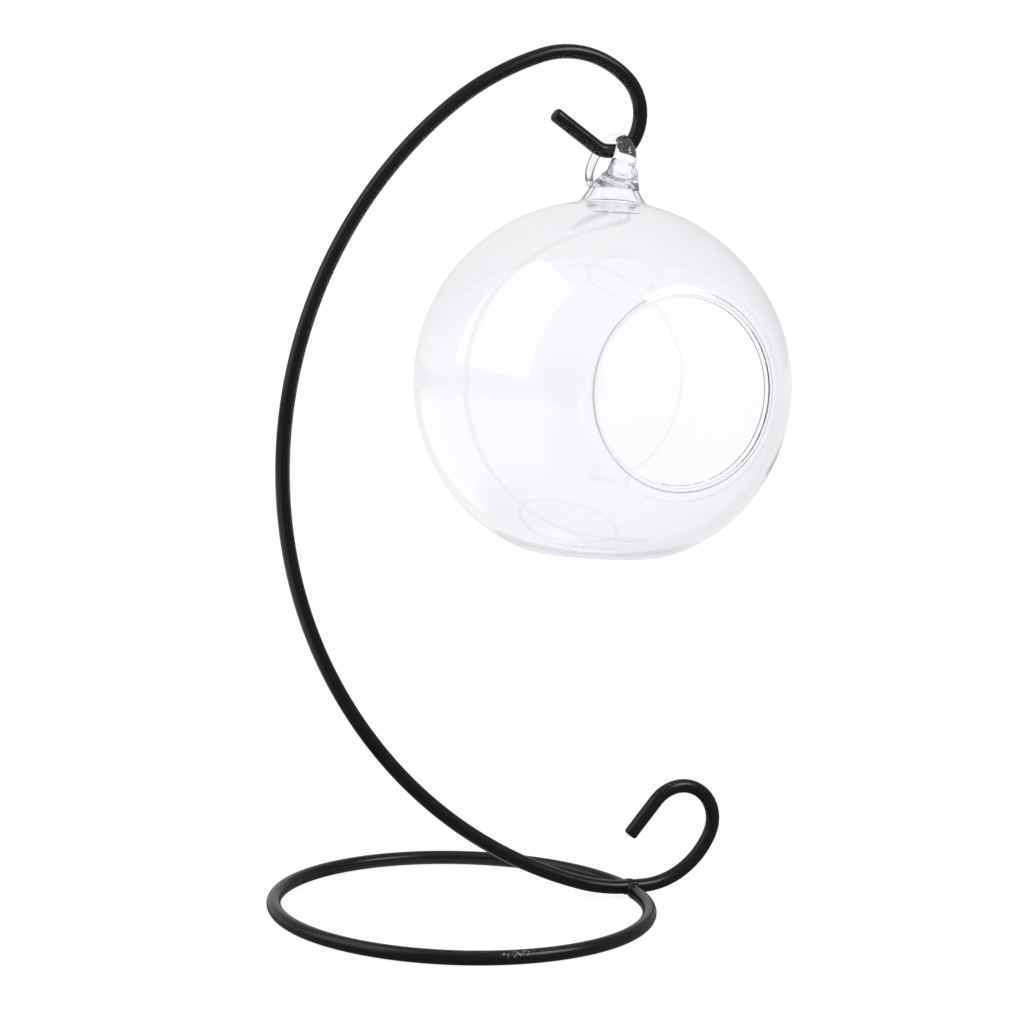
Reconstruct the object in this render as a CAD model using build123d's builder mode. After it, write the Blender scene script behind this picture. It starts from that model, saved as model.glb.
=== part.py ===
from build123d import *
from math import acos, asin, cos, degrees, radians, sin, sqrt
import os

# Wire of the stand
wire_diameter = 3.8
end_rounding = 0.5

# Base ring, open where its two ends meet the arm's foot
ring_outer_diameter = 104.0
root_gap = 0.15

# Weld beads between the ring's ends and the arm
bead_radius = 2.2
bead_half_width = 1.8
bead_lift = 0.5

# Scroll end of the arm, from the weld outwards
arm_clearance = 1.0
foot_length = 3.5
toe_radius = 22.0
toe_angle = 66.0
scroll_radius = 10.0
scroll_angle = 164.0
scroll_tip_length = 12.0

# Bow end of the arm, from the weld up to the hook's tip
instep_radius = 51.0
instep_angle = 18.0
lower_bow_radius = 129.0
lower_bow_angle = 42.5
bow_radius = 117.0
bow_angle = 80.5
shoulder_radius = 78.0
shoulder_angle = 21.5
crown_radius = 25.5
crown_angle = 59.0
hook_radius = 13.0
hook_angle = 84.0
seat_bend_radius = 4.5
seat_length = 3.0
tip_bend_radius = 6.0
tip_angle = 34.0
hook_tip_length = 15.0

# Blown glass globe
globe_width = 99.8
globe_height = 95.8
base_radius = 16.5
base_rounding = 24.0
glass_wall = 1.3
base_thickness = 3.0
neck_foot_radius = 9.0
neck_top_radius = 4.6
neck_height = 6.9
neck_rounding = 4.0
mouth_radius = 24.9
lip_rounding = 0.6

# Drawn glass loop, root in front of the hook's seat and thin end behind it
loop_radius = 6.4
loop_offset = 0.4
loop_twist_angle = 22.0
loop_lean_angle = 12.0
loop_gap = 0.6
rise_angle = 106.0
end_lean_angle = 4.6
upper_end_radius = 5.8
upper_end_angle = 71.7
lower_end_radius = 9.3
lower_end_angle = 61.9
root_radius = 2.7
crest_radius = 1.3
thin_radius = 1.0

# How the globe hangs below the seat
neck_drop = 6.8
neck_shift = 0.9
globe_lean_angle = 3.4
globe_tilt_angle = 3.34
mouth_angle = 3.0

wire_radius = wire_diameter / 2
ring_radius = ring_outer_diameter / 2 - wire_radius
arm_height = arm_clearance + wire_radius
os.makedirs("parts", exist_ok=True)


def tangent_arcs(last, bends):
    """Adds arcs to the open line, each starting along the end of the line before it."""
    for radius, turn in bends:
        last = JernArc(last @ 1, last % 1, radius, turn)
    return last


def straight_on(last, length):
    """Adds a straight that goes on from the end of the line before it."""
    return Line(last @ 1, last @ 1 + (last % 1) * length)


# Bent wire arm
with BuildPart() as stand_arm:
    with BuildLine(Plane.XZ) as scroll_line:
        foot = Line((ring_radius, arm_height), (ring_radius + foot_length, arm_height))
        scroll_end = tangent_arcs(foot, [(toe_radius, toe_angle), (scroll_radius, scroll_angle)])
        scroll_tip = straight_on(scroll_end, scroll_tip_length)
    bow_bends = [
        (lower_bow_radius, -lower_bow_angle),
        (bow_radius, -bow_angle),
        (shoulder_radius, -shoulder_angle),
        (crown_radius, -crown_angle),
        (hook_radius, -hook_angle),
    ]
    turned = instep_angle + sum(abs(turn) for radius, turn in bow_bends)
    seat_angle = 360 - turned
    with BuildLine(Plane.XZ) as bow_line:
        instep = JernArc((ring_radius, arm_height), (-1, 0), instep_radius, -instep_angle)
        hook_side = tangent_arcs(instep, bow_bends + [(seat_bend_radius, -seat_angle)])
        seat = straight_on(hook_side, seat_length)
        tip_bend = tangent_arcs(seat, [(tip_bend_radius, -tip_angle)])
        hook_tip = straight_on(tip_bend, hook_tip_length)
    with BuildSketch(Plane(origin=(ring_radius, 0, arm_height), z_dir=(1, 0, 0))) as wire_section:
        Circle(wire_radius)
    sweep(sections=wire_section.sketch, path=scroll_line.line)
    sweep(sections=wire_section.sketch, path=bow_line.line)
    wire_ends = stand_arm.faces().filter_by(GeomType.PLANE)
    fillet(wire_ends.edges(), end_rounding)
stand_arm.part.label = "stand_arm"
export_step(stand_arm.part, "parts/stand_arm.step")

# Base ring, with square ends that leave a root gap beside the arm
with BuildPart() as base_ring:
    gap_angle = degrees((wire_radius + root_gap) / ring_radius)
    with BuildLine(Plane.XY.offset(wire_radius)) as ring_line:
        CenterArc((0, 0), ring_radius, gap_angle, 360 - 2 * gap_angle)
    with BuildSketch(Plane(origin=ring_line.line @ 0, z_dir=ring_line.line % 0)):
        Circle(wire_radius)
    sweep(path=ring_line.line)
base_ring.part.label = "base_ring"
export_step(base_ring.part, "parts/base_ring.step")

# Weld beads, one on each flank of the foot, shaped by the wires that they join
with BuildPart() as weld_beads:
    bead_place = (ring_radius, wire_radius + root_gap, wire_radius + bead_lift)
    for side in (1, -1):
        bead_centre = Vector(bead_place[0], side * bead_place[1], bead_place[2])
        with BuildSketch(Plane(origin=bead_centre, x_dir=(0, 1, 0), z_dir=(1, 0, 0))) as bead_half:
            Ellipse(bead_half_width, bead_radius)
            Rectangle(2 * bead_half_width, bead_radius, align=(Align.CENTER, Align.MIN), mode=Mode.INTERSECT)
        revolve(axis=Axis(bead_centre, (0, 1, 0)))
    add(stand_arm.part, mode=Mode.SUBTRACT)
    add(base_ring.part, mode=Mode.SUBTRACT)
weld_beads.part.label = "weld_beads"
export_step(weld_beads.part, "parts/weld_beads.step")

# Where the globe hangs: the middle of the hook's level seat, with the neck's top below it
hook_seat = seat @ 0.5
neck_top = hook_seat + Vector(neck_shift, 0, -neck_drop)
globe_up = Vector(sin(radians(globe_lean_angle)), sin(radians(globe_tilt_angle)), 1).normalized()
section_radius = globe_height / 2
section_offset = (globe_width - globe_height) / 2
neck_foot_height = sqrt(section_radius**2 - (neck_foot_radius - section_offset) ** 2)
globe_centre = neck_top - globe_up * (neck_foot_height + neck_height)
globe_axis = Axis(globe_centre, globe_up)
front = Vector(sin(radians(mouth_angle)), -cos(radians(mouth_angle)), 0)
mouth_aim = (front - globe_up * front.dot(globe_up)).normalized()
section_plane = Plane(origin=globe_centre, x_dir=-mouth_aim, z_dir=globe_up.cross(mouth_aim))


def bubble(inset, floor_lift):
    """Half section of the globe and its neck, a given depth inside the outer surface."""
    wall_radius = section_radius - inset
    floor_height = floor_lift - sqrt(section_radius**2 - (base_radius - section_offset) ** 2)
    floor_radius = section_offset + sqrt(wall_radius**2 - floor_height**2)
    floor_angle = degrees(asin(floor_height / wall_radius))
    neck_slope = (neck_foot_radius - neck_top_radius) / neck_height
    foot_radius = neck_foot_radius - inset * sqrt(1 + neck_slope**2)
    foot_angle = degrees(acos((foot_radius - section_offset) / wall_radius))
    foot_height = wall_radius * sin(radians(foot_angle))
    top_height = neck_foot_height + neck_height - inset
    top_radius = foot_radius - neck_slope * (top_height - foot_height)
    with BuildSketch(section_plane) as section:
        with BuildLine():
            CenterArc((section_offset, 0), wall_radius, floor_angle, foot_angle - floor_angle)
            Polyline(
                (foot_radius, foot_height),
                (top_radius, top_height),
                (0, top_height),
                (0, floor_height),
                (floor_radius, floor_height),
            )
        make_face()
        fillet(section.vertices().sort_by_distance((foot_radius, foot_height))[0], neck_rounding)
        fillet(section.vertices().sort_by_distance((floor_radius, floor_height))[0], base_rounding)
    return section.sketch


# Blown globe, with its mouth cut out and the lip melted round
with BuildPart() as glass_globe:
    revolve(bubble(0, 0), axis=globe_axis)
    revolve(bubble(glass_wall, base_thickness), axis=globe_axis, mode=Mode.SUBTRACT)
    with BuildSketch(Plane(origin=globe_centre, z_dir=mouth_aim)):
        Circle(mouth_radius)
    extrude(amount=globe_width, mode=Mode.SUBTRACT)
    mouth_edge = glass_globe.faces().filter_by(GeomType.CYLINDER)
    fillet(mouth_edge.edges(), lip_rounding)
glass_globe.part.label = "glass_globe"
export_step(glass_globe.part, "parts/glass_globe.step")

# Drawn loop, tapered round its bend, on a solid gather that covers the neck's top
with BuildPart() as hanging_loop:
    loop_along = Vector(-sin(radians(loop_twist_angle)), cos(radians(loop_twist_angle)), 0)
    lean_side = loop_along.cross(Vector(0, 0, 1))
    loop_up = lean_side * sin(radians(loop_lean_angle)) + Vector(0, 0, cos(radians(loop_lean_angle)))
    loop_plane = Plane(origin=hook_seat, x_dir=loop_along, z_dir=loop_along.cross(loop_up))
    crest_reach = (wire_radius + loop_gap + crest_radius) / sqrt(1 - loop_up.X**2)
    with BuildLine(loop_plane):
        rise = CenterArc((loop_offset, crest_reach - loop_radius), loop_radius, 90 + rise_angle, -rise_angle)
    end_normal = loop_plane.z_dir.rotate(Axis((0, 0, 0), loop_along), end_lean_angle)
    with BuildLine(Plane(origin=rise @ 1, x_dir=loop_along, z_dir=end_normal)):
        upper_end = JernArc((0, 0), (1, 0), upper_end_radius, -upper_end_angle)
        lower_end = JernArc(upper_end @ 1, upper_end % 1, lower_end_radius, -lower_end_angle)
    middle_radius = sqrt(crest_radius * thin_radius)
    tapers = [
        (rise, root_radius, crest_radius),
        (upper_end, crest_radius, middle_radius),
        (lower_end, middle_radius, thin_radius),
    ]
    for bend, first_radius, last_radius in tapers:
        sections = []
        for share, cane_radius in ((0, first_radius), (1, last_radius)):
            with BuildSketch(Plane(origin=bend @ share, z_dir=bend % share)) as cane:
                Circle(cane_radius)
            sections.append(cane.sketch)
        sweep(sections=sections, path=bend, multisection=True)
    with BuildSketch(Plane(origin=neck_top, z_dir=globe_up)) as gather_foot:
        Circle(neck_top_radius)
    with BuildSketch(Plane(origin=rise @ 0, z_dir=rise % 0)) as gather_top:
        Circle(root_radius)
    loft(sections=[gather_foot.sketch, gather_top.sketch])
    revolve(bubble(0, 0), axis=globe_axis, mode=Mode.SUBTRACT)
hanging_loop.part.label = "hanging_loop"
export_step(hanging_loop.part, "parts/hanging_loop.step")
print("hook seat", hook_seat, "globe centre", globe_centre, "tip", hook_tip @ 1)
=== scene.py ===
# %% [markdown]
# # An air plant holder
#
# A clear blown globe hangs by a glass loop from the hook of a bent black wire stand.
# The imported model is the frame: every piece made here is in metres and stands where the imported solids stand.
# The box of the imported model is kept.

# %% Load the frame
import math

import bmesh
import bpy
from mathutils import Matrix, Vector


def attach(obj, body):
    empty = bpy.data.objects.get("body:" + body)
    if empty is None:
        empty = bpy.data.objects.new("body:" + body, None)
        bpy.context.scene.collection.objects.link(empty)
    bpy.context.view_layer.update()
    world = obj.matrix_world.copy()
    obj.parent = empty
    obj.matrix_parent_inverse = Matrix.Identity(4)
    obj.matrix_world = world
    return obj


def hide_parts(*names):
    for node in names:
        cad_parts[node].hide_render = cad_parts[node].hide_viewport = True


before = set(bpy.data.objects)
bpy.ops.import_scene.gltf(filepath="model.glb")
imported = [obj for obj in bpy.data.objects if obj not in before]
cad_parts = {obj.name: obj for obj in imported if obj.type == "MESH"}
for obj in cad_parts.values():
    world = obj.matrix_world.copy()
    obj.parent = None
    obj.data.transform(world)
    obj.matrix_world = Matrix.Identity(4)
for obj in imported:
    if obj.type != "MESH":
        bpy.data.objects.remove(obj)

scene = bpy.context.scene
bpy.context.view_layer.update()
MM = 0.001

# %% [markdown]
# ## The camera
#
# The photograph was taken from a little above the globe's middle, from the left of the arm's plane, with a long lens.
# A camera could be aimed at a target with a constraint, but the other views move it, so its place, heading, pitch
# and roll are plain numbers. They come from the outline of the base ring, which is a known circle.

# %% Place the camera
camera_place = Vector((-328.2, -754.7, 227.0)) * MM
camera_heading = math.radians(24.083)
camera_pitch = math.radians(8.097)
camera_roll = math.radians(1.72)

camera_data = bpy.data.cameras.new("camera")
camera_data.sensor_width = 36.0
camera_data.lens = 113.09
camera = bpy.data.objects.new("camera", camera_data)
camera_turn = Matrix.Rotation(-camera_heading, 4, "Z") @ Matrix.Rotation(math.pi / 2 - camera_pitch, 4, "X")
camera.matrix_world = Matrix.Translation(camera_place) @ camera_turn @ Matrix.Rotation(camera_roll, 4, "Z")
scene.collection.objects.link(camera)
scene.camera = camera
print("camera looks along", [round(x, 3) for x in camera.matrix_world.to_3x3() @ Vector((0, 0, -1))])

# %% [markdown]
# ## Bending and drawing
#
# The wire is fed through rollers that bend it, and a glass profile is drawn in the same way: a section goes along
# straights and bends. A curve with a bevel could do this, but a mesh that is spun about each bend's centre has exact
# arcs, and it is a plain mesh from the start. The helper keeps the end of what has been drawn, its place and heading.

# %% Helper that draws a section along bends and straights
class Drawn:
    """The open end of a section that is being drawn; turns are anticlockwise about the axis."""

    def __init__(self, bm, section, place, heading, axis, pitch):
        self.bm = bm
        self.section = section
        self.place = Vector(place)
        self.heading = Vector(heading)
        self.axis = Vector(axis)
        self.pitch = pitch

    def bend(self, radius, turn, taper=1.0):
        """Draws one bend; taper is the section's size at its end, as a share of that at its start."""
        angle = math.radians(turn)
        side = self.axis.cross(self.heading) * math.copysign(1, turn)
        centre = self.place + side * radius
        steps = max(4, math.ceil(radius * abs(angle) / self.pitch))
        strokes = 1 if taper == 1 else steps
        turned = Matrix.Rotation(angle / strokes, 3, self.axis)
        for stroke in range(strokes):
            made = bmesh.ops.spin(
                self.bm, geom=self.section, cent=centre, axis=self.axis, angle=angle / strokes,
                steps=steps // strokes, use_duplicate=False
            )
            self.section = made["geom_last"]
            self.place = centre + turned @ (self.place - centre)
            self.heading = turned @ self.heading
            self.resize(taper ** (1 / strokes))

    def resize(self, share):
        """Makes the open end wider or narrower about its middle."""
        points = [part for part in self.section if isinstance(part, bmesh.types.BMVert)]
        if share != 1:
            bmesh.ops.scale(self.bm, vec=(share,) * 3, space=Matrix.Translation(-self.place), verts=points)

    def straight(self, length):
        """Draws a straight along the heading."""
        steps = max(1, math.ceil(length / self.pitch / 2))
        made = bmesh.ops.spin(
            self.bm, geom=self.section, cent=self.place, axis=self.axis, dvec=self.heading * length / steps,
            angle=0, steps=steps, use_duplicate=False
        )
        self.section = made["geom_last"]
        self.place = self.place + self.heading * length


def round_section(bm, place, heading, radius, sides):
    """A ring of points square to a heading, where a length of wire or glass starts."""
    square = Vector(heading).to_track_quat("Z", "Y").to_matrix().to_4x4()
    stand = Matrix.Translation(place) @ square
    ring = bmesh.ops.create_circle(bm, segments=sides, radius=radius, matrix=stand)
    edges = {edge for point in ring["verts"] for edge in point.link_edges}
    return ring["verts"] + list(edges)


def edges_of(section):
    """The edges of a drawn section, without its points."""
    return [part for part in section if isinstance(part, bmesh.types.BMEdge)]


def closed_end(bm, section, rounding):
    """Closes the open end of a drawn section and rounds its rim."""
    rim = edges_of(section)
    bmesh.ops.contextual_create(bm, geom=rim)
    bmesh.ops.bevel(bm, geom=rim, offset=rounding, affect="EDGES", segments=4, profile=0.5, material=-1)


def finished_piece(name, bm, body, slot, *nodes):
    """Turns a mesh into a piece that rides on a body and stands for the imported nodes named."""
    mesh = bpy.data.meshes.new(name)
    bm.to_mesh(mesh)
    bm.free()
    mesh.shade_smooth()
    piece = bpy.data.objects.new(name, mesh)
    scene.collection.objects.link(piece)
    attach(piece, body)
    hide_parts(*nodes)
    print(name, "has", len(mesh.polygons), "faces")
    return piece


# %% [markdown]
# ## The bent arm
#
# One length of steel wire makes the scroll, the foot across the ring, the tall bow, the crown and the hook. All its
# bends lie in one plane, each one running on from the one before it, so the arm is a list of radii and turns. It is
# drawn from the weld both ways: first out to the scroll, then up the bow to the hook's tip.

# %% Draw the arm
wire_radius = 1.9 * MM
wire_sides = 28
wire_pitch = 1.6 * MM
end_rounding = 0.75 * MM
ring_radius = 50.1 * MM
arm_height = 2.9 * MM
arm_axis = (0, -1, 0)
arm_foot = Vector((ring_radius, 0, arm_height))

foot_length = 3.5 * MM
scroll_bends = [(22.0, 66.0), (10.0, 164.0)]
scroll_tip_length = 12.0 * MM

arm = bmesh.new()
foot_section = round_section(arm, arm_foot, (1, 0, 0), wire_radius, wire_sides)
scroll = Drawn(arm, foot_section, arm_foot, (1, 0, 0), arm_axis, wire_pitch)
scroll.straight(foot_length)
for radius, turn in scroll_bends:
    scroll.bend(radius * MM, turn)
scroll.straight(scroll_tip_length)

bow_bends = [(51.0, 18.0), (129.0, 42.5), (117.0, 80.5), (78.0, 21.5), (25.5, 59.0), (13.0, 84.0)]
seat_bend_radius = 4.5
seat_turn = 360 - sum(turn for radius, turn in bow_bends)
seat_length = 3.0 * MM
tip_bend_radius = 6.0 * MM
tip_turn = 34.0
hook_tip_length = 15.0 * MM
bow = Drawn(arm, foot_section, arm_foot, (-1, 0, 0), arm_axis, wire_pitch)
for radius, turn in bow_bends + [(seat_bend_radius, seat_turn)]:
    bow.bend(radius * MM, -turn)
hook_seat = bow.place + bow.heading * seat_length / 2
bow.straight(seat_length)
bow.bend(tip_bend_radius, -tip_turn)
bow.straight(hook_tip_length)
for end in (scroll, bow):
    closed_end(arm, end.section, end_rounding)
bmesh.ops.recalc_face_normals(arm, faces=arm.faces)
wire_arm = finished_piece("wire_arm", arm, "stand", "black_wire", "stand_arm")
print("hook seat", [round(x / MM, 2) for x in hook_seat], "tip", [round(x / MM, 2) for x in bow.place])

# %% [markdown]
# ## The base ring
#
# The ring is the same wire, rolled to a circle, and its two ends stop at the arm's flanks where they are welded.
# A torus primitive would be closed, so a section is spun round the circle and stops short on both sides.

# %% Spin the ring
root_gap = 0.15 * MM
ring_end_rounding = 0.2 * MM
gap_turn = math.degrees((wire_radius + root_gap) / ring_radius)

ring = bmesh.new()
start_turn = Matrix.Rotation(math.radians(gap_turn), 3, "Z")
ring_start = start_turn @ Vector((ring_radius, 0, 0)) + Vector((0, 0, wire_radius))
ring_heading = start_turn @ Vector((0, 1, 0))
start_section = round_section(ring, ring_start, ring_heading, wire_radius, wire_sides)
hoop = Drawn(ring, start_section, ring_start, ring_heading, (0, 0, 1), wire_pitch)
hoop.bend(ring_radius, 360 - 2 * gap_turn)
for section in (start_section, hoop.section):
    closed_end(ring, section, ring_end_rounding)
bmesh.ops.recalc_face_normals(ring, faces=ring.faces)
wire_ring = finished_piece("wire_ring", ring, "stand", "black_wire", "base_ring")

# %% [markdown]
# ## The welds
#
# A bead of weld metal fills the corner on each flank of the foot, and the coat softens it. A ball that is squeezed to
# the bead's size is close to that form; ripples along it show where the metal froze. A thin ridge of the same metal
# runs askew over the arm from one bead to the other. It could be a torus cut in half, but one bend of the drawing
# helper makes it in one stroke.

# %% Model the weld beads
bead_size = Vector((2.2, 1.8, 2.2)) * MM
bead_offset = 2.05 * MM
bead_height = 2.4 * MM
ridge_radius = 0.5 * MM
ridge_sink = 0.15 * MM
ridge_reach = wire_radius - ridge_sink
ridge_skew = Matrix.Rotation(math.radians(32.0), 3, "Z")
ridge_sides = 16
ridge_pitch = 0.15 * MM
ridge_end_rounding = 0.2 * MM
ripple_length = 0.45 * MM
ripple_rise = 0.8 * MM
ripple_depth = 0.05 * MM

beads = bmesh.new()
for side in (1, -1):
    bead_centre = Matrix.Translation((ring_radius, side * bead_offset, bead_height))
    squeezed = bead_centre @ Matrix.Diagonal((*bead_size, 1))
    bead = bmesh.ops.create_icosphere(beads, subdivisions=5, radius=1.0, matrix=squeezed)
    for point in bead["verts"]:
        ripple = math.sin(point.co.x / ripple_length) * math.sin(point.co.z / ripple_rise)
        point.co.y += side * ripple_depth * ripple
ridge_start = arm_foot + ridge_skew @ Vector((0, -ridge_reach, 0))
ridge_axis = ridge_skew @ Vector((-1, 0, 0))
ridge_section = round_section(beads, ridge_start, (0, 0, 1), ridge_radius, ridge_sides)
ridge = Drawn(beads, ridge_section, ridge_start, (0, 0, 1), ridge_axis, ridge_pitch)
ridge.bend(ridge_reach, 180)
for section in (ridge_section, ridge.section):
    closed_end(beads, section, ridge_end_rounding)
bmesh.ops.recalc_face_normals(beads, faces=beads.faces)
weld_metal = finished_piece("weld_metal", beads, "stand", "black_wire", "weld_beads")

# %% [markdown]
# ## The globe
#
# The bubble was blown, flattened on its base and opened at the side while hot. A sphere primitive could be squashed,
# but the half section is a known chain of tangent arcs: from the middle of the base, round the base's edge, up the
# side, out into the neck and over its dome. It is drawn as that chain and spun round the globe's own axis, with the
# seam at the back. The hot glass sagged a little on the right, so the shoulder there is flatter than on the left, and
# the side below it fuller.

# %% Where the globe hangs
neck_drop = 6.8 * MM
neck_shift = 0.9 * MM
globe_lean = math.radians(3.4)
globe_tilt = math.radians(3.34)
mouth_turn = math.radians(3.0)
section_radius = 47.9 * MM
section_offset = 2.0 * MM
neck_foot_radius = 9.0 * MM
neck_height = 6.9 * MM

neck_top = hook_seat + Vector((neck_shift, 0, -neck_drop))
globe_up = Vector((math.sin(globe_lean), math.sin(globe_tilt), 1)).normalized()
neck_foot_height = math.sqrt(section_radius**2 - (neck_foot_radius - section_offset) ** 2)
globe_centre = neck_top - globe_up * (neck_foot_height + neck_height)
front = Vector((math.sin(mouth_turn), -math.cos(mouth_turn), 0))
mouth_aim = (front - globe_up * front.dot(globe_up)).normalized()
globe_place = Matrix((globe_up.cross(mouth_aim), -mouth_aim, globe_up)).transposed().to_4x4()
globe_place = Matrix.Translation(globe_centre) @ globe_place
print("globe centre", [round(x / MM, 2) for x in globe_centre])

# %% Draw the half section and spin it
base_radius = 16.5 * MM
base_depth = math.sqrt(section_radius**2 - (base_radius - section_offset) ** 2)
base_rounding = 24.0 * MM
neck_rounding = 4.0 * MM
neck_top_radius = 4.6 * MM
dome_rounding = 3.2 * MM
glass_pitch = 1.7 * MM
globe_steps = 180
seam_merge = 0.01 * MM
shoulder_sag = 0.07

# The rounding of the base touches the side from within, and the hollow of the neck touches it from outside
centre_drop = base_depth - base_rounding
flat_radius = section_offset + math.sqrt((section_radius - base_rounding) ** 2 - centre_drop**2)
base_angle = math.degrees(math.atan2(base_rounding - base_depth, flat_radius - section_offset))
cone = Vector((neck_top_radius - neck_foot_radius, neck_height)).normalized()
cone_out = Vector((cone.y, -cone.x))
cone_angle = math.degrees(math.atan2(cone.y, cone.x))
foot = Vector((neck_foot_radius - section_offset, neck_foot_height)) + cone_out * neck_rounding
hollow_distance = section_radius + neck_rounding
slide = -foot.dot(cone) + math.sqrt(foot.dot(cone) ** 2 - foot.dot(foot) + hollow_distance**2)
hollow = foot + cone * slide
neck_angle = math.degrees(math.atan2(hollow.y, hollow.x))
cone_start = hollow - cone_out * neck_rounding + Vector((section_offset, 0))
dome_setback = dome_rounding * math.tan(math.radians(180 - cone_angle) / 2)
cone_length = (cone_start.x - neck_top_radius) / -cone.x - dome_setback

bubble = bmesh.new()
bottom = bubble.verts.new((0, 0, -base_depth))
profile = Drawn(bubble, [bottom], bottom.co, (0, 1, 0), (1, 0, 0), glass_pitch)
profile.straight(flat_radius)
profile.bend(base_rounding, 90 + base_angle)
profile.bend(section_radius, neck_angle - base_angle)
profile.bend(neck_rounding, cone_angle - 90 - neck_angle)
profile.straight(cone_length)
profile.bend(dome_rounding, 180 - cone_angle)
profile.straight(neck_top_radius - dome_setback)
bmesh.ops.spin(
    bubble, geom=bubble.verts[:] + bubble.edges[:], cent=(0, 0, 0), axis=(0, 0, 1), angle=2 * math.pi,
    steps=globe_steps, use_merge=True, use_duplicate=False
)
bmesh.ops.remove_doubles(bubble, verts=bubble.verts, dist=seam_merge)
bmesh.ops.recalc_face_normals(bubble, faces=bubble.faces)
for point in bubble.verts:
    if point.co.x > 0:
        height = point.co.z / section_radius
        point.co.x *= 1 - shoulder_sag * height * abs(height)
print("bubble has", len(bubble.faces), "faces")

# %% [markdown]
# The mouth is a flat cut across the side, and its lip was melted round, so it is thicker than the wall. A cutting
# cylinder could bore it, but cuts parallel to the mouth leave loops that follow it. The wall then gets its thickness,
# and the loops near the mouth are moved apart into a bead. Inside, the floor is thicker than the wall, because the
# glass sank while it was soft, and the dome of the neck is thinner, because it was drawn out there.

# %% Cut the mouth, give the wall its thickness and shape the lip
mouth_distance = 43.05 * MM
glass_wall = 1.3 * MM
base_thickness = 2.0 * MM
pool_core = 4.0 * MM
pool_edge = 30.0 * MM
cut_merge = 0.05 * MM
lip_loops = (0.4, 0.8, 1.2, 1.6, 2.0, 2.5, 3.2)
lip_depth = 2.6 * MM
lip_swell = 0.42 * MM
lip_rounding = 0.5 * MM
lip_angle = math.radians(60)
dome_lift = 1.4 * MM

for loop_depth in lip_loops:
    bmesh.ops.bisect_plane(
        bubble, geom=bubble.verts[:] + bubble.edges[:] + bubble.faces[:], dist=1e-7,
        plane_co=(0, loop_depth * MM - mouth_distance, 0), plane_no=(0, -1, 0)
    )
bmesh.ops.bisect_plane(
    bubble, geom=bubble.verts[:] + bubble.edges[:] + bubble.faces[:], dist=1e-7,
    plane_co=(0, -mouth_distance, 0), plane_no=(0, -1, 0), clear_outer=True
)
bmesh.ops.remove_doubles(bubble, verts=bubble.verts, dist=cut_merge)
bmesh.ops.recalc_face_normals(bubble, faces=bubble.faces)
bubble.normal_update()
outer_points = set(bubble.verts)
bmesh.ops.solidify(bubble, geom=bubble.faces[:], thickness=glass_wall)
inner_points = [point for point in bubble.verts if point not in outer_points]
for point in bubble.verts:
    depth = point.co.y + mouth_distance
    if depth < lip_depth:
        away = Vector((point.co.x, point.co.y - section_offset, point.co.z)).normalized()
        swell = lip_swell * math.sin(math.pi * max(depth, 0) / lip_depth)
        point.co += away * (swell if point in outer_points else -swell)
for point in inner_points:
    if point.co.z < 0:
        spread = min(max((point.co.xy.length - pool_core) / (pool_edge - pool_core), 0), 1)
        point.co.z += (base_thickness - glass_wall) * (1 - spread * spread * (3 - 2 * spread))
for point in inner_points:
    share = min(max((point.co.z - neck_foot_height) / neck_height, 0), 1)
    point.co.z += dome_lift * share * share
lip_edges = [
    edge for edge in bubble.edges
    if len(edge.link_faces) == 2 and edge.calc_face_angle() > lip_angle
]
bmesh.ops.bevel(
    bubble, geom=lip_edges, offset=lip_rounding, affect="EDGES", segments=4, profile=0.5, material=-1,
    clamp_overlap=True
)
print("glass in the wall, in cubic millimetres", round(bubble.calc_volume(signed=True) / MM**3))
bmesh.ops.transform(bubble, matrix=globe_place, verts=bubble.verts)
globe_glass = finished_piece("globe_glass", bubble, "globe", "clear_glass", "glass_globe")

# %% [markdown]
# ## The hanging loop
#
# A gather of molten glass was set on the neck, pulled up in front of the hook's place, bent over and drawn out thin,
# and its end was pressed back onto the neck's shoulder. A curve with a radius at each point could give the same cane.
# Here it is one section that gets smaller from bend to bend: the first bends share a centre and rise to the crest, and
# the last two lean over to the side and come down behind the wire.

# %% Draw the loop
loop_twist = math.radians(5.9)
loop_lean = math.radians(10.0)
loop_radius = 5.3 * MM
loop_shift = Vector((0.6, -0.1, 0.0)) * MM
loop_gap = 0.35 * MM
root_radius = 3.3 * MM
crest_radius = 1.3 * MM
thin_radius = 1.0 * MM
rise_bends = ((29.0, 2.95), (15.0, 2.65), (15.0, 2.2), (15.0, 1.8), (32.0, 1.3))
end_bends = ((7.7, 98.8), (6.4, 63.4))
end_lean = math.radians(12.6)
cane_end_rounding = 0.3 * MM
cane_pitch = 0.4 * MM
glass_sides = 28

loop_along = Vector((-math.sin(loop_twist), math.cos(loop_twist), 0))
lean_side = loop_along.cross(Vector((0, 0, 1)))
loop_up = lean_side * math.sin(loop_lean) + Vector((0, 0, math.cos(loop_lean)))
loop_axis = loop_along.cross(loop_up)
crest_reach = (wire_radius + loop_gap + crest_radius) / math.sqrt(1 - loop_up.x**2)
bend_centre = hook_seat + loop_shift + loop_up * (crest_reach - loop_radius)
root_swing = Matrix.Rotation(math.radians(sum(turn for turn, radius in rise_bends)), 3, loop_axis)
root_place = bend_centre + root_swing @ (loop_up * loop_radius)
root_heading = root_swing @ loop_along

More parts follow.
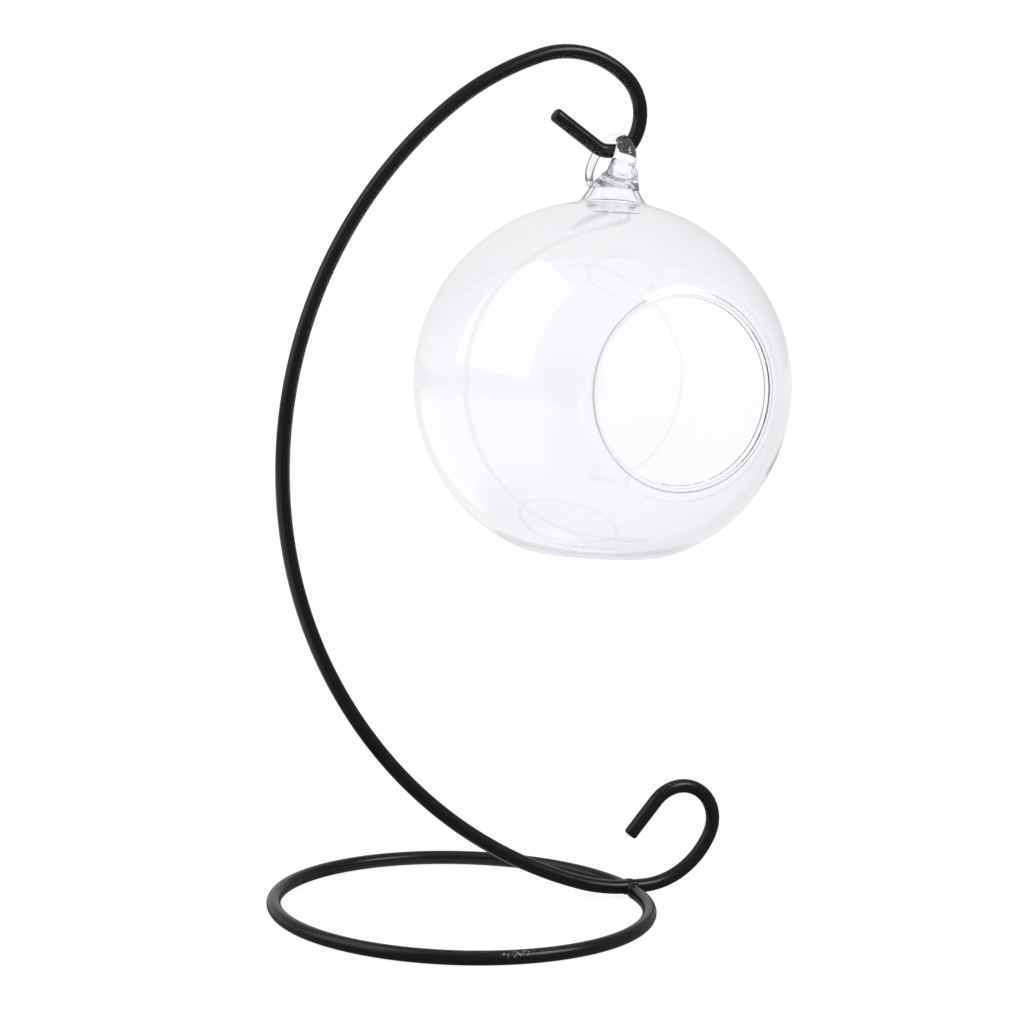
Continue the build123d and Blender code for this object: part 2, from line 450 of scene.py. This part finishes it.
cane = bmesh.new()
root_section = round_section(cane, root_place, root_heading, root_radius, glass_sides)
draw = Drawn(cane, root_section, root_place, root_heading, loop_axis, cane_pitch)
cane_radius = root_radius
for turn, radius in rise_bends:
    draw.bend(loop_radius, -turn, radius * MM / cane_radius)
    cane_radius = radius * MM
draw.axis = Matrix.Rotation(end_lean, 3, draw.heading) @ draw.axis
end_taper = math.sqrt(thin_radius / crest_radius)
for radius, turn in end_bends:
    draw.bend(radius * MM, -turn, end_taper)
closed_end(cane, draw.section, cane_end_rounding)
print("loop ends at", [round(x / MM, 2) for x in draw.place - hook_seat])

# %% [markdown]
# The gather is a skirt of glass between the root and the neck. Its underside follows the neck's dome a hair inside the
# wall, so that no film of air lies between the two pieces, and its wavy hem curls out of the cone. From there, the
# skirt goes up over three rings that lean towards the root, each bridged to the one below it.

# %% Add the gather
fused_depth = 0.08 * MM
hem_drop = 1.9 * MM
hem_rounding = 0.06 * MM
hem_wave = 0.05 * MM
hem_waves = 3
hem_pitch = 0.25 * MM
hem_merge = 0.005 * MM
skirt_rings = (((1.1, -0.8, -8.0), 5.7), ((1.2, -1.8, -6.6), 5.0), ((1.15, -3.4, -4.8), 4.05))

skirt = bmesh.new()
dome_middle = skirt.verts.new((0, 0, neck_foot_height + neck_height - fused_depth))
hem = Drawn(skirt, [dome_middle], dome_middle.co, (0, 1, 0), (1, 0, 0), hem_pitch)
hem.straight(neck_top_radius - dome_setback)
hem.bend(dome_rounding - fused_depth, cone_angle - 180)
hem.straight(hem_drop)
hem.bend(hem_rounding, 180)
bmesh.ops.spin(
    skirt, geom=skirt.verts[:] + skirt.edges[:], cent=(0, 0, 0), axis=(0, 0, 1), angle=2 * math.pi,
    steps=glass_sides, use_merge=True, use_duplicate=False
)
bmesh.ops.remove_doubles(skirt, verts=skirt.verts, dist=hem_merge)
lowest = min(point.co.z for point in skirt.verts)
for point in skirt.verts:
    near_hem = max(0, 1 - (point.co.z - lowest) / hem_drop)
    point.co.z += hem_wave * near_hem * math.sin(hem_waves * math.atan2(point.co.y, point.co.x))
bmesh.ops.transform(skirt, matrix=globe_place, verts=skirt.verts)
skirt_mesh = bpy.data.meshes.new("skirt")
skirt.to_mesh(skirt_mesh)
skirt.free()
cane_edges = edges_of(root_section)
cane.from_mesh(skirt_mesh)
bpy.data.meshes.remove(skirt_mesh)
below = [edge for edge in cane.edges if edge.is_boundary and edge not in cane_edges]
for ring_offset, radius in skirt_rings:
    ring_place = hook_seat + Vector(ring_offset) * MM
    above = edges_of(round_section(cane, ring_place, globe_up, radius * MM, glass_sides))
    bmesh.ops.bridge_loops(cane, edges=below + above)
    below = above
bmesh.ops.bridge_loops(cane, edges=below + cane_edges)
bmesh.ops.recalc_face_normals(cane, faces=cane.faces)
loop_glass = finished_piece("loop_glass", cane, "globe", "clear_glass", "hanging_loop")

# %% [markdown]
# ## Materials
#
# A material is a small program of nodes. The class below wraps one output of a node, so that arithmetic on it reads
# as arithmetic and adds the Math nodes by itself. Every other node comes from its one method, which sets the node's
# settings first and then its inputs.

# %% Helper for node materials
class Signal:
    """An output on its way through a node tree."""

    def __init__(self, tree, socket=None):
        self.tree = tree
        self.socket = socket

    def node(self, kind, settings=None, inputs=None, output=0):
        """Adds a node, with its settings and inputs, and returns one of its outputs."""
        made = self.tree.nodes.new(kind)
        for name, value in (settings or {}).items():
            setattr(made, name, value)
        for name, value in (inputs or {}).items():
            if isinstance(value, Signal):
                self.tree.links.new(value.socket, made.inputs[name])
            else:
                made.inputs[name].default_value = value
        return Signal(self.tree, made.outputs[output] if made.outputs else None)

    def maths(self, operation, first, second):
        """Adds a Math node."""
        return self.node("ShaderNodeMath", {"operation": operation}, {0: first, 1: second})

    def or_more(self, other):
        """The larger of two levels."""
        return self.maths("MAXIMUM", self, other)

    def __add__(self, other):
        return self.maths("ADD", self, other)

    def __sub__(self, other):
        return self.maths("SUBTRACT", self, other)

    def __rsub__(self, other):
        return self.maths("SUBTRACT", other, self)

    def __mul__(self, other):
        return self.maths("MULTIPLY", self, other)

    def __truediv__(self, other):
        return self.maths("DIVIDE", self, other)

    def __rtruediv__(self, other):
        return self.maths("DIVIDE", other, self)

    def __lt__(self, other):
        return self.maths("LESS_THAN", self, other)

    def __gt__(self, other):
        return self.maths("GREATER_THAN", self, other)

    __radd__ = __add__
    __rmul__ = __mul__


def new_material(name):
    """An empty material, a signal on its tree, and the function that closes it with a surface shader."""
    material = bpy.data.materials.new(name)
    material.use_nodes = True
    tree = material.node_tree
    tree.nodes.clear()
    start = Signal(tree)

    def close(shader, inside=None):
        ends = {"Surface": shader} if inside is None else {"Surface": shader, "Volume": inside}
        start.node("ShaderNodeOutputMaterial", None, ends)
        print(name, "has", len(tree.nodes), "nodes")
        return material

    return start, close


def noise(start, place, scale, detail=2.0):
    """Cloudy noise around 0.5, with so many lumps in a metre."""
    inputs = {"Vector": place, "Scale": scale, "Detail": detail, "Roughness": 0.5}
    return start.node("ShaderNodeTexNoise", None, inputs)


def blend(start, share, first, second):
    """A colour between two others."""
    return start.node("ShaderNodeMix", {"data_type": "RGBA"}, {0: share, 6: first, 7: second}, 2)


def ramp(start, value, low, high, first=0.0, last=1.0):
    """A level that goes from first to last while the value goes from low to high."""
    inputs = {"Value": value, "From Min": low, "From Max": high, "To Min": first, "To Max": last}
    return start.node("ShaderNodeMapRange", None, inputs)


def along(start, place, direction):
    """How far a place lies in a direction."""
    return start.node("ShaderNodeVectorMath", {"operation": "DOT_PRODUCT"}, {0: place, 1: direction}, "Value")


# %% [markdown]
# ### Powder coat
#
# The wire is coated with baked black powder: a satin black with a fine orange peel, a few pale specks of dust, and
# one chipped scuff on the front of the ring. A picture of the coat could be wrapped round the wire, but noise in space
# needs no seams. The orange peel is a bump from noise, the specks are the middles of the cells of a Voronoi pattern,
# thinned out by a second noise, and the scuff is a small ellipsoid in space, broken up by a third.

# %% Make the powder coat
start, close = new_material("black_powder_coat")
place = start.node("ShaderNodeTexCoord", None, None, "Object")
peel = noise(start, place, 1100.0)
cloud = noise(start, place, 160.0)
cells = start.node("ShaderNodeTexVoronoi", None, {"Vector": place, "Scale": 240.0})
speck = (cells < 0.045) * (noise(start, place, 70.0) > 0.66)
black = blend(start, cloud, (0.009, 0.0093, 0.0103, 1), (0.013, 0.0134, 0.0148, 1))
dusty = blend(start, speck * 0.7, black, (0.22, 0.22, 0.23, 1))
scuff_middle = (-7.0 * MM, -50.9 * MM, 3.0 * MM)
scuff_size = (5.2 * MM, 1.1 * MM, 0.75 * MM)
from_scuff = start.node("ShaderNodeVectorMath", {"operation": "SUBTRACT"}, {0: place, 1: scuff_middle})
scuff_share = start.node("ShaderNodeVectorMath", {"operation": "DIVIDE"}, {0: from_scuff, 1: scuff_size})
scuff_reach = start.node("ShaderNodeVectorMath", {"operation": "LENGTH"}, {0: scuff_share}, "Value")
chipped = (scuff_reach < 1.0) * (noise(start, place, 1700.0, 3.0) > 0.56)
scuffed = blend(start, chipped * 0.9, dusty, (0.52, 0.52, 0.54, 1))
bump = start.node("ShaderNodeBump", None, {"Strength": 0.12, "Distance": 0.08 * MM, "Height": peel})
coat = start.node("ShaderNodeBsdfPrincipled", None, {
    "Base Color": scuffed, "Roughness": cloud * 0.10 + 0.20, "Normal": bump,
    "IOR": 1.5, "Specular IOR Level": 0.3,
})
powder_coat = close(coat)
for piece in (wire_arm, wire_ring, weld_metal):
    piece.data.materials.append(powder_coat)

# %% [markdown]
# ### Clear glass
#
# Blown glass is clear, with faint waves in its wall that make reflections wander. The pieces have their real
# thickness, so refraction gives most edges, and a volume that absorbs a little light gives the lip and the base a
# breath of lavender. Thin canes and the open neck look darker at their edges than refraction alone makes them,
# because they bend dark parts of the room into view. That darkness is painted shade here: the colour goes dark where
# the surface turns away from the viewer, which Layer Weight measures, and a fine broken line of painted shade runs
# beside the lip.

# %% Make clear glass
# Painted shade: the dark colours painted on the glass edges and on the lines beside the lip
PAINTED_EDGE_SHADE = (0.05, 0.05, 0.06, 1)
PAINTED_LINE_SHADE = (0.03, 0.03, 0.04, 1)


def clear_glass(name, painted_edges, painted_lines=None):
    """Clear glass; the functions take the start and the place, and say where painted shade darkens edges and lines."""
    start, close = new_material(name)
    place = start.node("ShaderNodeTexCoord", None, None, "Object")
    wave = noise(start, place, 34.0, 1.0)
    colour = blend(start, noise(start, place, 20.0), (0.982, 0.972, 0.99, 1), (0.993, 0.987, 0.998, 1))
    facing = start.node("ShaderNodeLayerWeight", None, {"Blend": 0.5}, "Facing")
    width, strength = painted_edges(start, place)
    # Painted shade on the edges, where the surface turns away from the viewer
    colour = blend(start, ramp(start, facing + width, 0.68, 0.82) * strength, colour, PAINTED_EDGE_SHADE)
    # Painted shade in the lines beside the lip, standing in for dark surroundings that the lip refracts
    if painted_lines:
        colour = blend(start, painted_lines(start, place), colour, PAINTED_LINE_SHADE)
    ripple = start.node("ShaderNodeBump", None, {"Strength": 0.5, "Distance": 0.3 * MM, "Height": wave})
    glass = start.node("ShaderNodeBsdfPrincipled", None, {
        "Base Color": colour, "Roughness": 0.0, "IOR": 1.47, "Transmission Weight": 1.0, "Normal": ripple,
    })
    body = start.node("ShaderNodeVolumeAbsorption", None, {"Color": (0.60, 0.57, 0.64, 1), "Density": 11.0})
    return close(glass, body)


# %% Glass of the globe, with painted shade on the edges of the open neck and in lines beside the lip
def neck_painted_shade(start, place):
    """Width and strength of the painted edge shade: on the neck, between the globe's shoulder and the gather."""
    height = along(start, place, globe_up) - globe_centre.dot(globe_up)
    above_foot = ramp(start, height, neck_foot_height - 1.0 * MM, neck_foot_height + 1.0 * MM)
    below_gather = ramp(start, height, neck_foot_height + 3.6 * MM, neck_foot_height + 4.6 * MM, 1.0, 0.0)
    return 0.06, above_foot * below_gather


def lip_painted_shade(start, place):
    """Painted shade in a thin layer parallel to the mouth, stronger and weaker along the lip."""
    inset = globe_centre.dot(mouth_aim) + mouth_distance - along(start, place, mouth_aim)
    line = (inset < 0.36 * MM) * (inset > 0.20 * MM)
    return line * (noise(start, place, 60.0) + 0.1)


globe_glass.data.materials.append(clear_glass("blown_glass", neck_painted_shade, lip_painted_shade))


# %% Glass of the loop, with painted shade on the edges of its thin end
def loop_painted_shade(start, place):
    """Painted edge shade, width and strength: on the thin end behind the wire, below the seat and above the neck."""
    height = along(start, place, (0, 0, 1)) - hook_seat.z
    behind_wire = along(start, place, loop_along) - loop_along.dot(hook_seat)
    thin = ramp(start, behind_wire, 1.0 * MM, 2.0 * MM) * ramp(start, height, -9.0 * MM, -8.0 * MM)
    return thin * 0.42, ramp(start, height, 1.0 * MM, -1.0 * MM) * thin


loop_glass.data.materials.append(clear_glass("drawn_glass", loop_painted_shade))

# %% [markdown]
# ## The stage
#
# The object stands on a pale floor in a white studio. A white room all round would wash out glass and wire, as it
# would in a real studio, where a photographer puts white only where the picture needs it. So the surround and the
# floor are white straight to the camera and nearly white through glass, while reflections see a grey room. Its pale
# backdrop rises out of the floor behind the object and fades to the right, its ceiling is a little paler than its
# walls, and a white strip of floor lies on the left. Diffuse light sees only grey, so the floor keeps the shadows.

# %% Colour the surround
through_level = 0.95
sweep_level = 0.75
ceiling_level = 0.42
room_level = 0.13
ahead = (math.sin(camera_heading), math.cos(camera_heading), 0.0)
leftward = (-math.cos(camera_heading), math.sin(camera_heading), 0.0)


def white_rays(start, mirror_share):
    """How white the studio looks to a ray: straight, through glass, or by a share in reflections."""
    straight = start.node("ShaderNodeLightPath", None, None, "Is Camera Ray")
    through = start.node("ShaderNodeLightPath", None, None, "Is Transmission Ray")
    mirrored = start.node("ShaderNodeLightPath", None, None, "Is Glossy Ray")
    return straight.or_more(through * through_level).or_more(mirrored * mirror_share)


world = bpy.data.worlds.new("surround")
scene.world = world
world.use_nodes = True
world.node_tree.nodes.clear()
start = Signal(world.node_tree)
direction = start.node("ShaderNodeTexCoord", None, None, "Generated")
behind = along(start, direction, ahead)
upward = along(start, direction, (0, 0, 1))
right_fade = ramp(start, along(start, direction, leftward), -0.6, 0.0, 0.3, 1.0)
sweep = ramp(start, upward, 0.5, 0.0) * ramp(start, behind, 0.1, 0.4) * sweep_level
backdrop = ramp(start, behind, 0.35, 1.25).or_more(sweep)
ceiling = ramp(start, upward, 0.6, 0.9, 0.0, ceiling_level)
pale_share = backdrop.or_more(ceiling) * right_fade
white_share = white_rays(start, pale_share.or_more(room_level))
surround = blend(start, white_share, (0.17, 0.165, 0.185, 1), (1.0, 1.0, 1.0, 1))
background = start.node("ShaderNodeBackground", None, {"Color": surround, "Strength": 1.0})
start.node("ShaderNodeOutputWorld", None, {"Surface": background})
print(world.name, "has", len(world.node_tree.nodes), "nodes")

# %% Lay the floor
floor_half = 4.0

floor_mesh = bmesh.new()
bmesh.ops.create_grid(floor_mesh, x_segments=1, y_segments=1, size=floor_half)
floor_data = bpy.data.meshes.new("floor")
floor_mesh.to_mesh(floor_data)
floor_mesh.free()
floor = bpy.data.objects.new("floor", floor_data)
scene.collection.objects.link(floor)

start, close = new_material("pale_floor")
place = start.node("ShaderNodeTexCoord", None, None, "Object")
distance = start.node("ShaderNodeVectorMath", {"operation": "LENGTH"}, {0: place}, "Value")
behind = along(start, place, ahead) / distance
left_share = along(start, place, leftward) / distance
left_strip = ramp(start, distance, 0.08, 0.14) * ramp(start, distance, 0.7, 1.5, 1.0, 0.2)
left_side = ramp(start, left_share, 0.38, 0.55) * left_strip + 0.1
far_side = ramp(start, behind, 0.6, 0.95) * sweep_level
white_share = white_rays(start, far_side.or_more(left_side))
level = ramp(start, distance, 0.2, 1.6, 0.90, 1.0)
glow = start.node("ShaderNodeEmission", None, {"Color": level * white_share, "Strength": 1.0})
paint = start.node("ShaderNodeBsdfDiffuse", None, {"Color": (0.25, 0.25, 0.25, 1)})
floor.data.materials.append(close(start.node("ShaderNodeAddShader", None, {0: paint, 1: glow})))

# %% [markdown]
# Two soft boxes light the stage: a tall one on the left, which makes the patch on the globe and the bands on the wire,
# and a small one on the right. Glass would show each of them a second time inside the globe, as a square, so rays that
# have passed through glass don't see them.

# %% Hang the soft boxes
def soft_box(name, place, target, width, height, power):
    """A flat lamp that faces a target."""
    lamp = bpy.data.lights.new(name, "AREA")
    lamp.shape = "RECTANGLE"
    lamp.size = width
    lamp.size_y = height
    lamp.energy = power
    holder = bpy.data.objects.new(name, lamp)
    look = (Vector(target) - Vector(place)).to_track_quat("-Z", "Y").to_matrix().to_4x4()
    holder.matrix_world = Matrix.Translation(place) @ look
    holder.visible_transmission = False
    scene.collection.objects.link(holder)
    print(name, width, "by", height, "m,", power, "W")


soft_box("soft_box_left", (-1.0, 0.15, 1.2), (0.0, 0.0, 1.0), 1.3, 1.9, 11.0)
soft_box("soft_box_right", (0.58, -0.75, 0.91), globe_centre, 0.6, 0.6, 8.0)

# %% [markdown]
# ## The last step
#
# Light crosses the thick lip, the base and the gather many times before it leaves the glass. If it is cut off too
# soon, their corners turn black, so the number of bounces is high.

# %% Set the bounces and finish
bounces = 96
scene.cycles.max_bounces = bounces
scene.cycles.glossy_bounces = bounces
scene.cycles.transmission_bounces = bounces
scene.view_settings.view_transform = "Standard"
